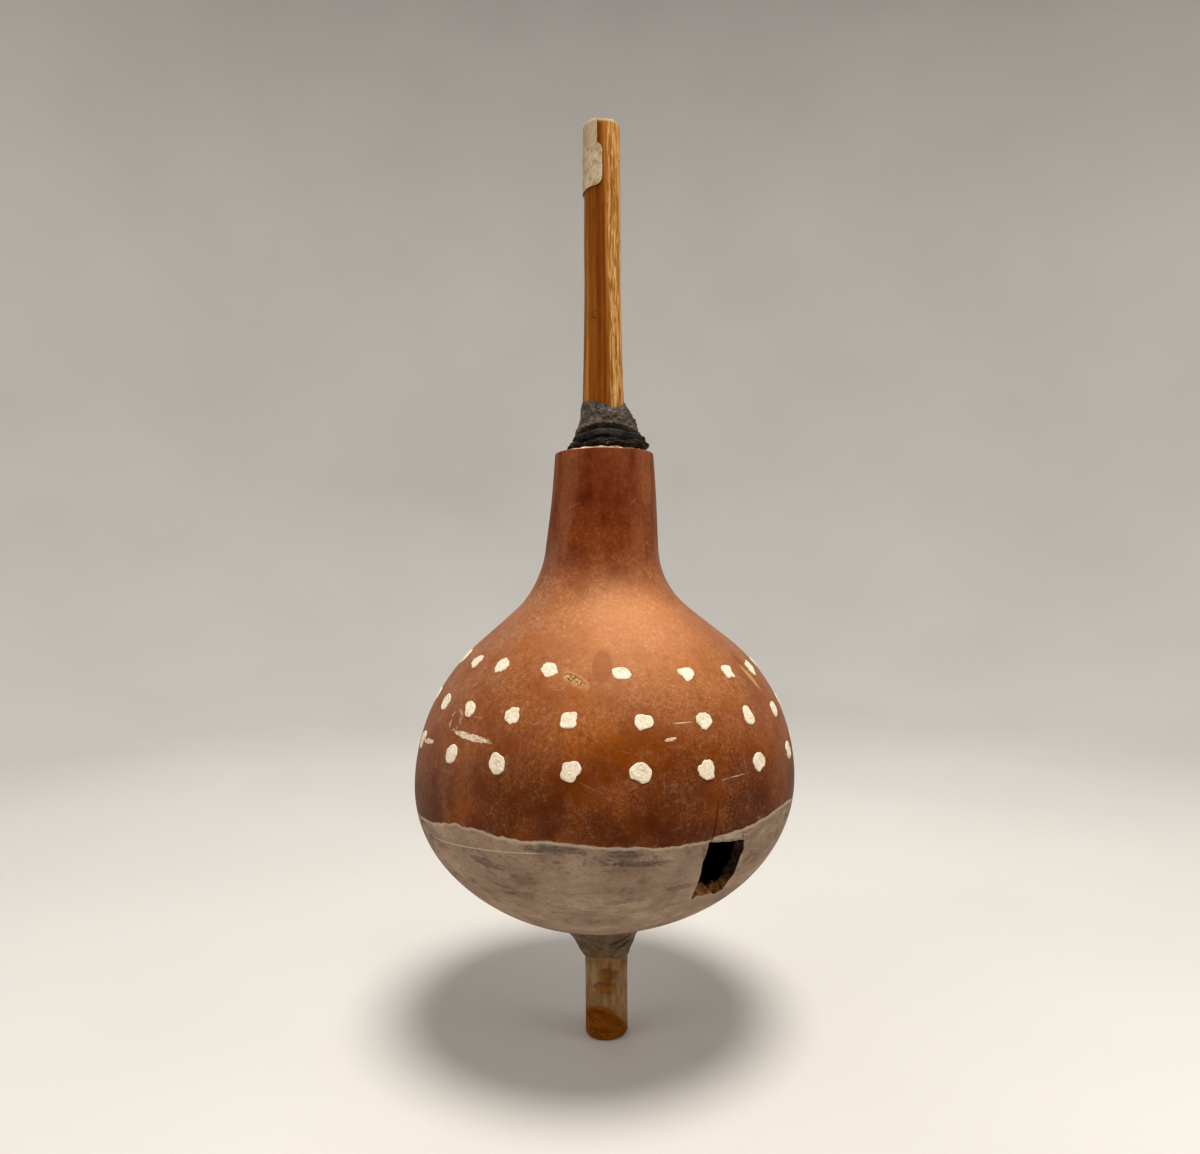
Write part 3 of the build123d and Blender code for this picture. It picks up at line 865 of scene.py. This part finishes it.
pitch, at = new_finish("black_pitch")
height_s = places_on(at)[1]
mottle = at.noise(3.6, 5, 0.65)
crumb = at.noise(0.9, 4, 0.7)
pitch_colour = (mottle * 0.6 + crumb * 0.4).ramp(
    (0.36, 36, 28, 22), (0.47, 62, 54, 48), (0.56, 88, 79, 73), (0.68, 118, 107, 97)
)
lower = height_s.step(240, 237)
pitch_colour = pitch_colour.tint(lower * 0.94, 9, 6, 3)
# Painted highlights: brownish glints in spots on the rolled lip below the fold.
lip_painted_glint = at.noise(2.0, 4, 0.7).step(0.57, 0.68) * height_s.step(237.5, 236)
pitch_colour = pitch_colour.tint(lip_painted_glint * 0.4, 132, 96, 56)
glint = at.noise(0.6, 2, 0.6).step(0.68, 0.74)
pitch_colour = pitch_colour.tint(glint * 0.55, 176, 166, 150)
pitch_bump = mottle * 0.45 + crumb * 0.25 + at.noise(0.45, 2) * 0.08
finish_with(at, pitch_colour, 0.4 + crumb * 0.4, pitch_bump, Specular_IOR_Level=0.12)
pitch_rings = pitch_points(96, 200)
pitch_faces = tube_faces(*pitch_rings.shape[:2])
pitch_collar = make_piece("pitch_seal", pitch_rings, pitch_faces, [pitch], sharp=80)
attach(pitch_collar, "rattle")
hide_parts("pitch_collar")

# ---------------------------------------------------------------- foot collar
# A funnel of the same sort of putty that seals the rod's hole under the belly, smoothed on by
# thumb and painted over with the white wash, with two folds where it was pulled round.
seal_side = (
    (30.9, 8.75), (32.1, 9.4), (34.2, 10.5), (36.4, 11.5), (38.6, 12.5), (41, 14.2), (43.5, 16.2),
    (46.2, 18.8), (47.2, 19.8),
)

seal_folds = (
    (13, 36, 39.4, 42.0, 0.9), (27, 45, 37.3, 39.5, 0.8), (-88, -110, 36, 40.5, 0.7),
    (140, 162, 37, 41, 0.6),
)


def seal_points(levels, around):
    """Flaring skin from the lower edge up into the belly, rippled and creased, then in over the
    top and down the bore."""
    turn = all_round(around)
    degrees = np.degrees(turn)
    share = np.linspace(0, 1, levels)[:, None]
    low = 31.1 + 1.9 * bump_at(degrees, 0, 46)
    low = low + 0.35 * ripple(51, 8, 9 * np.sin(turn), 9 * np.cos(turn))
    height = low + (47.2 - low) * share
    radius = np.interp(height, *zip(*seal_side))
    x, y = radius * np.sin(turn), radius * np.cos(turn)
    radius = radius + 0.3 * ripple(52, 7, x, y, height) + 0.12 * ripple(53, 2.6, x, y, height)
    crease = 0
    for start, end, low_end, high_end, depth in seal_folds:
        line = start + (height - low_end) * (end - start) / (high_end - low_end)
        reach = smooth_step(height, low_end - 0.5, low_end + 0.5)
        reach = reach * (1 - smooth_step(height, high_end - 0.3, high_end + 1))
        crease = crease + depth * bump_at(degrees, line, 5.5) * reach
    radius = radius - crease
    radius = np.maximum(radius, rod_radius(height) + 0.25)
    radius = radius - 0.45 * (1 - smooth_step(share, 0, 0.05))
    lean = -np.interp(height, (30.9, 34, 38.6, 47.2), (0, 0.5, 1.0, 2.4))
    bore = turned(core_radius - 0.35, turn, height)[::-1]
    return np.concatenate([turned(radius, turn, height, lean), bore])


seal_putty, at = new_finish("washed_putty")
_, height_s, azimuth_s = places_on(at)
rub = at.noise(3.4, 5, 0.65, (1, 1, 0.7))
putty = rub.ramp((0.34, 70, 50, 30), (0.46, 88, 66, 44), (0.56, 102, 80, 55), (0.68, 122, 99, 70))
taupe = at.noise(8, 3, 0.5).step(0.48, 0.62)
putty = putty.tint(taupe * 0.45, 78, 62, 46)
putty = putty.tint(at.noise(1.1, 4).step(0.62, 0.72) * 0.25, 170, 148, 116)
putty = putty.tint(height_s.step(33, 31) * 0.25, 150, 126, 94)
for start, end, low_end, high_end, _ in seal_folds:
    slant = (end - start) / (high_end - low_end)
    fold_line = (azimuth_s - start - (height_s - low_end) * slant).near(0, 5.5)
    fold_line = fold_line * height_s.step(low_end - 0.5, low_end + 0.5)
    fold_line = fold_line * height_s.step(high_end + 1, high_end - 0.3)
    putty = putty.tint(fold_line * 0.85, 38, 25, 15)
finish_with(at, putty, 0.8, rub * 0.3 + at.noise(0.9, 3) * 0.12)
seal_rings = seal_points(64, 200)
seal_faces = tube_faces(*seal_rings.shape[:2])
foot_seal = make_piece("foot_seal", seal_rings, seal_faces, [seal_putty], sharp=80)
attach(foot_seal, "rattle")
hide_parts("foot_collar")

# ---------------------------------------------------------------- paper labels
# Two slips of old rag paper pasted round the handle, blank, browned and a little lifted at their
# edges. The upper one is turned in over the worn end, and its lower edge lies under the other.
paper = 0.2


def label_points(right, wrap, bottom, top, corner, tilt, lift, seed, rows=40, columns=60):
    """A slip on the rod's skin: azimuth runs left from its right edge and height from bottom to
    top, corners rounded by narrowing the rows near them, edges waved, and the whole tilted. It
    follows the rod's rounded end, and has an outer and an inner layer."""
    up = np.linspace(0, 1, rows)[:, None]
    across = np.linspace(0, 1, columns)[None, :]
    span = top - bottom
    from_end = np.minimum(up, 1 - up) * span
    narrow = corner - np.sqrt(corner**2 - np.clip(corner - from_end, 0, corner) ** 2)
    around = math.radians(wrap) * handle_radius
    narrow = narrow + 0.12 * ripple(seed, 4, up * span)
    arc = -(narrow + across * (around - 2 * narrow))
    height = bottom + up * span + tilt * arc + 0.12 * ripple(seed + 1, 5, arc) * (2 * up - 1)
    degrees = right + np.degrees(arc / handle_radius)
    turn = np.radians(degrees)
    over = np.clip(height - (stick_top - top_rounding), 0, None)
    angle = np.clip(over / top_rounding, 0, 1.25)
    shell = lift + 0.05 * ripple(seed + 2, 5, arc, height)
    layers = []
    for depth in (paper, 0.0):
        out = shell + depth
        radius = handle_radius - top_rounding + (top_rounding + out) * np.cos(angle)
        round_end = stick_top - top_rounding + (top_rounding + out) * np.sin(angle)
        rise = np.where(over > 0, round_end, height)
        layers.append(turned(radius, turn, rise))
    return np.stack(layers)


for name, node, slip_sizes, browning in (
    ("lower_slip", "lower_label", (0.0, 172, 335.2, 352.0, 3.2, 0.085, 0.14, 61), 0.1),
    ("upper_slip", "upper_label", (-15.0, 150, 350.0, 363.0, 1.5, 0.02, -0.04, 71), 0.42),
):
    aged_paper, at = new_finish("aged_paper_" + name)
    mould = at.noise(2.2, 5, 0.7, (1, 1, 0.55))
    rag = at.noise(0.5, 3, 0.6)
    paper_colour = (mould * 0.7 + rag * 0.3).ramp(
        (0.34, 118, 94, 66), (0.44, 158, 136, 106), (0.54, 184, 166, 138), (0.68, 202, 188, 164)
    )
    paper_colour = paper_colour.tint(browning * mould.step(0.3, 0.6), 146, 118, 84)
    paper_colour = paper_colour.tint(at.noise(1.2, 4).step(0.62, 0.68) * 0.5, 108, 88, 64)
    finish_with(at, paper_colour, 0.85, rag * 0.06 + mould * 0.1)
    slip_points = label_points(*slip_sizes)
    cells = np.ones((1, slip_points.shape[1] - 1, slip_points.shape[2] - 1), bool)
    slip_points = slip_points[:, :, ::-1]
    slip = make_piece(name, slip_points, skin_of(cells, slip_points.shape[:3])[0], [aged_paper])
    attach(slip, "rattle")
    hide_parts(node)

# ---------------------------------------------------------------- painted dots
# Three rings of finger-dabbed dots in thick cream paint round the belly. Each is a raised dab with
# the swirl of the finger in it, more or less round, some with a bite or a point where the paint ran.
dot_rows = (
    (149.1, 3.0, (-59, -41, -20, 5, 28.5, 48, 67, 86, 106, 124, 143, 163, -178, -158, -139, -119,
                  -99, -79)),
    (134.4, 3.0, (-63, -46, -28, -10.5, 10, 29, 47, 66, 85, 105, 124, 142, 162, -178, -158, -139,
                  -119, -100, -81)),
    (119.2, 3.35, (-48, -30, -9, 8.6, 27, 46.5, 68, 87, 106, 127, 146, 165, -175, -155, -136, -117,
                   -97, -72)),
)

# A dab's section from its rim inwards, and the dabs that are less round than the rest: how many
# corners, how strong, and which way they point.
dot_shares = (1.0, 0.99, 0.95, 0.87, 0.74, 0.58, 0.42, 0.26, 0.1)
dot_rises = (-0.45, 0.12, 0.3, 0.38, 0.34, 0.4, 0.33, 0.38, 0.34)
dot_sides = 48
odd_dots = {
    (0, 5): (2, 0.12, 0.3),
    (0, 28.5): (3, 0.17, -1.57),
    (0, 48): (4, 0.12, 3.14),
    (1, -10.5): (4, 0.06, 3.14),
    (1, 10): (1, 0.08, 0.0),
}


def dot_points(turn, height, size, seed, lobes):
    """One dab as rings between two poles: an outline of low waves and lobes about its size, a domed
    top with a ring-shaped swirl, and a rim that sinks into the rind, laid on the rind's surface."""
    draw = np.random.default_rng(seed)
    angle = np.linspace(0, 2 * np.pi, dot_sides, endpoint=False)
    edge = size * (1 + 0.03 * draw.normal())
    outline = ((2, 0.07), (3, 0.06), (4, 0.03), (5, 0.035), (7, 0.03), (9, 0.025), (13, 0.016))
    for waves, strength in outline:
        edge = edge * (1 + strength * draw.normal() * np.cos(waves * angle + draw.uniform(0, 6.3)))
    edge = edge * (1 + lobes[1] * np.cos(lobes[0] * angle + lobes[2]))
    bite = draw.uniform(0, 6.3)
    edge = edge * (1 - 0.22 * (draw.uniform() > 0.55) * bump_at(np.cos(angle - bite), 1, 0.12))
    share, rise = np.array(dot_shares)[:, None], np.array(dot_rises)[:, None]
    across, up = share * edge * np.cos(angle), share * edge * np.sin(angle)
    swirl = 0.07 * np.sin(share * 11 + angle * 2 + draw.uniform(0, 6.3)) * (share < 0.9)
    rise = rise + swirl + 0.05 * ripple(seed, 1.6, across, up) * (share < 0.97)
    across, up = (np.concatenate([[0], v.ravel(), [0]]) for v in (across, up))
    rise = np.concatenate([[-0.6], rise.ravel(), [0.34]])
    run = np.interp(height, outline_height, outline_run) + up
    radius = np.interp(run, outline_run, outline_radius)
    return on_rind(run, turn + np.degrees(across / radius), -rise)


dabs = []
for row, (height, size, places) in enumerate(dot_rows):
    for column, turn in enumerate(places):
        level = height - 2.0 * math.sin(math.radians(turn))
        lobes = odd_dots.get((row, turn), (1, 0, 0))
        dabs.append(dot_points(turn, level, size, 1000 + 50 * row + column, lobes))
dabs = np.stack(dabs)
cream_paint, at = new_finish("cream_paint")
daub = at.noise(2.0, 5, 0.65, (1, 1, 1), 1.2)
dust = at.noise(0.6, 3, 0.6)
cream_colour = (daub * 0.7 + dust * 0.3).ramp(
    (0.32, 168, 144, 116), (0.43, 214, 198, 172), (0.55, 232, 220, 198), (0.7, 242, 234, 216)
)
cream_colour = cream_colour.tint(at.noise(1.0, 4).step(0.64, 0.71) * 0.6, 140, 106, 78)
finish_with(at, cream_colour, 0.72 + daub * 0.1, daub * 0.25 + dust * 0.1)
dot_faces = faces_of_all(dabs, len(dot_shares), dot_sides)
dots = make_piece("painted_dots", dabs, dot_faces, [cream_paint], sharp=85)
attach(dots, "rattle")

# ---------------------------------------------------------------- stage, light and camera
# A plain pale bowl of a studio: a level floor at the rod's foot that sweeps up into a wall all
# round. One wide lamp above and to the front right does most of the work.
floor_radius = 800.0
sweep_radius = 700.0
wall_height = 2600.0


def stage_points(around):
    """A level floor, a quarter circle up and a plain wall, turned round the rod's axis."""
    flat = np.linspace(60, floor_radius, 12)
    sweep = np.linspace(0, np.pi / 2, 24)[1:]
    curve = floor_radius + sweep_radius * np.sin(sweep)
    radius = np.concatenate([flat, curve, [floor_radius + sweep_radius]])
    height = np.concatenate([0 * flat, sweep_radius * (1 - np.cos(sweep)), [wall_height]])
    return turned(radius[::-1, None], all_round(around), height[::-1, None] - 0.05)


stage_paint, at = new_finish("stage_paint")
stage_colour = at.noise(300, 2).ramp((0.3, 206, 205, 203), (0.7, 213, 212, 210))
finish_with(at, stage_colour, 0.9, at.noise(6, 2) * 0.02, Specular_IOR_Level=0.2)
bowl = stage_points(96)
number = np.arange(bowl.shape[0] * bowl.shape[1]).reshape(bowl.shape[:2])
stage = make_piece("stage_bowl", bowl, [band_faces(number), number[-1:]], [stage_paint], sharp=80)

belly_middle = Vector((0, 0, (belly_height + foot) * mm))
for name, place, size, power, colour in (
    ("key", (0.11, -0.27, 0.97), 0.45, 16.5, (1.0, 0.94, 0.86)),
    ("left_fill", (-0.85, -0.45, 0.45), 0.7, 2.5, (1.0, 0.96, 0.91)),
    ("right_fill", (0.8, -0.25, 0.35), 0.5, 1.8, (1.0, 0.95, 0.88)),
    ("back_fill", (-0.2, 0.9, 0.6), 0.8, 1.3, (1.0, 0.97, 0.93)),
):
    lamp = bpy.data.lights.new(name, "AREA")
    lamp.shape, lamp.size, lamp.energy, lamp.color = "DISK", size, power, colour
    lamp_object = bpy.data.objects.new(name, lamp)
    lamp_object.location = place
    lamp_object.rotation_euler = (belly_middle - Vector(place)).to_track_quat("-Z", "Y").to_euler()
    bpy.context.scene.collection.objects.link(lamp_object)

world = bpy.data.worlds.new("studio_air")
world.use_nodes = True
world.node_tree.nodes["Background"].inputs["Color"].default_value = (1.0, 0.98, 0.95, 1)
world.node_tree.nodes["Background"].inputs["Strength"].default_value = 0.2
bpy.context.scene.world = world
bpy.context.scene.view_settings.view_transform = "Standard"

lens = bpy.data.cameras.new("camera")
lens.sensor_fit, lens.sensor_width, lens.lens = "HORIZONTAL", 36.0, 26.25
lens.clip_start = 0.01
camera = bpy.data.objects.new("camera", lens)
camera.matrix_world = (
    Matrix.Translation((-0.00172, -0.350, (181.4 + foot) * mm))
    @ Matrix.Rotation(math.radians(90), 4, "X")
    @ Matrix.Rotation(math.radians(-0.31), 4, "Z")
)
bpy.context.scene.collection.objects.link(camera)
bpy.context.scene.camera = camera
